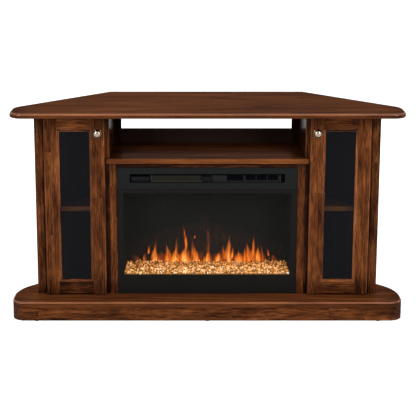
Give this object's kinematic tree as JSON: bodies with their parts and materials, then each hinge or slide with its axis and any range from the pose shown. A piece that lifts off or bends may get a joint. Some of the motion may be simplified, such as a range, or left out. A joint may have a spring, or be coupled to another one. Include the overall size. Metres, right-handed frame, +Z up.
{
  "type": "corner fireplace",
  "caption": "Corner media console in brown-stained wood with glass-door cupboards, an open shelf bay and an electric fireplace insert.",
  "frame": {"origin": "on the floor, under the middle of the bounding box", "axes": "+X to the viewer's right along the front, +Y to the back, into the corner of the room, +Z up"},
  "size_m": [1.372, 0.455, 0.74],
  "materials": {
    "stained_wood": "brown stain under satin clear lacquer",
    "dark_wood": "stained, unseen faces",
    "hardboard": "brown hardboard",
    "black_steel": "satin black powder coat",
    "matte_black": "flat black paint",
    "smoked_glass": "dark tinted pane",
    "clear_glass": "clear tempered pane",
    "aged_bronze": "antique finish, rubbed rim",
    "zinc_steel": "zinc plated sheet",
    "bright_foil": "bright",
    "amber_glass": "crushed amber and clear glass",
    "smoke_screen": "smoked translucent screen",
    "black_plastic": "moulded, satin",
    "circuit_board": "lacquered board",
    "nylon": "moulded nylon"
  },
  "bodies": {
    "cabinet": {"top_board": "stained_wood", "plinth_deck": "stained_wood", "plinth_front": "stained_wood", "plinth_side_left": "stained_wood", "plinth_side_right": "stained_wood", "corner_post_left": "stained_wood", "side_panel_left": "stained_wood", "divider_left": "stained_wood", "corner_post_right": "stained_wood", "side_panel_right": "stained_wood", "divider_right": "stained_wood", "media_shelf": "stained_wood", "insert_header_rail": "stained_wood", "insert_jamb_left": "stained_wood", "insert_jamb_right": "stained_wood", "cupboard_shelf_left": "stained_wood", "cupboard_shelf_right": "stained_wood", "plinth_back": "dark_wood", "back_panel": "hardboard", "glide_front_left": "nylon", "glide_front_middle": "nylon", "glide_front_right": "nylon", "glide_back_left": "nylon", "glide_back_right": "nylon", "insert_trim": "black_steel", "insert_fascia": "black_steel", "insert_glass": "clear_glass", "insert_housing": "zinc_steel", "rotor_motor": "zinc_steel", "heater_duct": "zinc_steel", "chamber_liner": "matte_black", "ember_tray": "matte_black", "flame_screen": "smoke_screen", "ember_bed": "amber_glass", "heater_element": "bright_foil", "led_board": "circuit_board", "outlet_grille": "black_plastic", "control_panel": "black_plastic", "cord_inlet": "black_plastic"},
    "left_door": {"left_door_hinge_stile": "stained_wood", "left_door_latch_stile": "stained_wood", "left_door_top_rail": "stained_wood", "left_door_bottom_rail": "stained_wood", "left_door_glass": "smoked_glass", "left_door_knob": "aged_bronze", "left_door_pivot_top": "zinc_steel", "left_door_pivot_bottom": "zinc_steel"},
    "right_door": {"right_door_hinge_stile": "stained_wood", "right_door_latch_stile": "stained_wood", "right_door_top_rail": "stained_wood", "right_door_bottom_rail": "stained_wood", "right_door_glass": "smoked_glass", "right_door_knob": "aged_bronze", "right_door_pivot_top": "zinc_steel", "right_door_pivot_bottom": "zinc_steel"},
    "rotor": {"flame_rotor": "bright_foil"},
    "fan": {"blower_wheel": "matte_black"},
    "power_key": {"power_button": "black_plastic"},
    "flame_key": {"flame_button": "black_plastic"},
    "heat_key": {"heat_button": "black_plastic"}
  },
  "joints": [
    {"name": "left_door_hinge", "type": "hinge", "parent": "cabinet", "child": "left_door", "pos_m": [-0.5715, -0.1415, 0.4], "axis": [0, 0, -1], "range_deg": [0, 105]},
    {"name": "right_door_hinge", "type": "hinge", "parent": "cabinet", "child": "right_door", "pos_m": [0.5715, -0.1415, 0.4], "axis": [0, 0, 1], "range_deg": [0, 105]},
    {"name": "flame_rotor_spin", "type": "hinge", "parent": "cabinet", "child": "rotor", "pos_m": [0, 0.0148, 0.1503], "axis": [1, 0, 0], "continuous": true},
    {"name": "blower_spin", "type": "hinge", "parent": "cabinet", "child": "fan", "pos_m": [-0.072, -0.0542, 0.4826], "axis": [1, 0, 0], "continuous": true},
    {"name": "power_button_press", "type": "slide", "parent": "cabinet", "child": "power_key", "axis": [0, 1, 0], "range_m": [0, 0.0015], "stiffness_N_per_m": 400},
    {"name": "flame_button_press", "type": "slide", "parent": "cabinet", "child": "flame_key", "axis": [0, 1, 0], "range_m": [0, 0.0015], "stiffness_N_per_m": 400},
    {"name": "heat_button_press", "type": "slide", "parent": "cabinet", "child": "heat_key", "axis": [0, 1, 0], "range_m": [0, 0.0015], "stiffness_N_per_m": 400}
  ]
}
